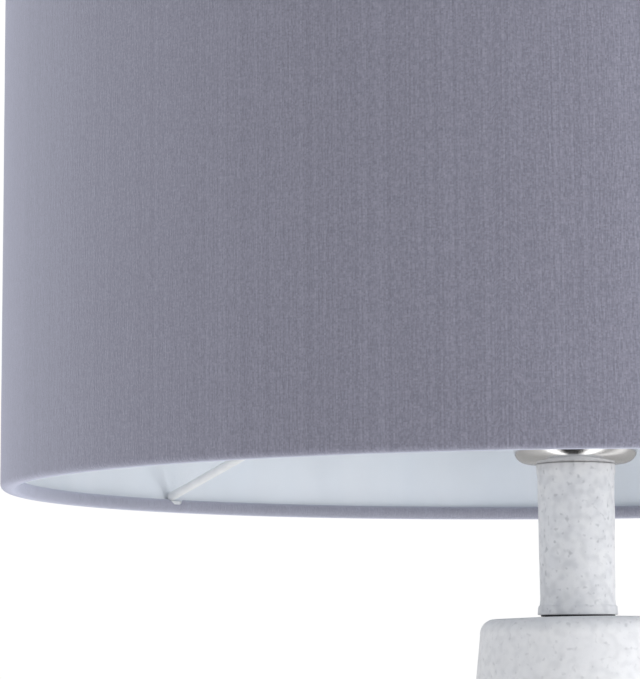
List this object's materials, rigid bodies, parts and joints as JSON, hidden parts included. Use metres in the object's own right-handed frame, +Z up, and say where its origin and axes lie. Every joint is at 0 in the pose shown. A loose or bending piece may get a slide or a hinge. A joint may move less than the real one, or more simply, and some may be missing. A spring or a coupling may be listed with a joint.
{
  "type": "table lamp with shade",
  "caption": "Table lamp with a straight drum fabric shade on a speckled tapered ceramic base with a slim neck, screw lampholder and bulb.",
  "frame": {"origin": "centre of the felt underside, on the table", "axes": "+Z up along the lamp's axis; the front is -Y, and the cord inlet is at the back, +Y"},
  "size_m": [0.3499, 0.35, 0.5],
  "materials": {
    "ceramic": "matt speckled off-white",
    "felt": "pressed felt",
    "steel": "zinc plated",
    "rubber": "matt",
    "chrome": "polished",
    "porcelain": "gloss glaze",
    "brass": "satin",
    "white_wire": "white powder coat",
    "lining": "white film",
    "shade_cloth": "fine woven, slight sheen",
    "opal_glass": "opal",
    "clear_glass": "clear",
    "filament": "phosphor coat",
    "bulb_metal": "nickel plated",
    "black_glass": "black"
  },
  "bodies": {
    "base": {"base_body": "ceramic", "felt_pad": "felt", "base_plate": "steel", "flat_washer": "steel", "spring_washer": "steel", "base_nut": "steel", "threaded_rod": "steel", "cord_inlet_bush": "rubber", "neck_seal": "rubber", "neck": "ceramic", "holder_cap": "chrome", "cap_grub_screw": "steel", "holder_shell": "chrome", "socket_insert": "porcelain", "socket_sleeve": "porcelain", "screw_shell": "brass", "terminal_screws": "brass"},
    "seat_ring": {"seat_ring": "chrome"},
    "shade": {"fitter_ring": "white_wire", "fitter_spokes": "white_wire", "lower_rim_ring": "white_wire", "upper_rim_ring": "white_wire", "shade_lining": "lining", "shade_cover": "shade_cloth"},
    "lock_ring": {"lock_ring": "chrome"},
    "bulb": {"bulb_glass": "opal_glass", "bulb_stem": "clear_glass", "bulb_filaments": "filament", "bulb_cap": "bulb_metal", "bulb_insulator": "black_glass", "bulb_contact": "bulb_metal"},
    "centre_contact": {"centre_contact": "brass"}
  },
  "joints": [
    {"name": "shade_height", "type": "slide", "parent": "base", "child": "seat_ring", "axis": [0, 0, 1], "range_m": [-0.028, 0.005]},
    {"name": "shade_turn", "type": "hinge", "parent": "seat_ring", "child": "shade", "pos_m": [0, 0, 0.3494], "axis": [0, 0, 1], "continuous": true},
    {"name": "lock_ring_off", "type": "slide", "parent": "shade", "child": "lock_ring", "axis": [0, 0, 1], "range_m": [0, 0.0135]},
    {"name": "bulb_out", "type": "slide", "parent": "base", "child": "bulb", "axis": [0, 0, 1], "range_m": [0, 0.03]},
    {"name": "contact_press", "type": "slide", "parent": "base", "child": "centre_contact", "axis": [0, 0, 1], "range_m": [-0.001, 0], "stiffness_N_per_m": 2000}
  ]
}
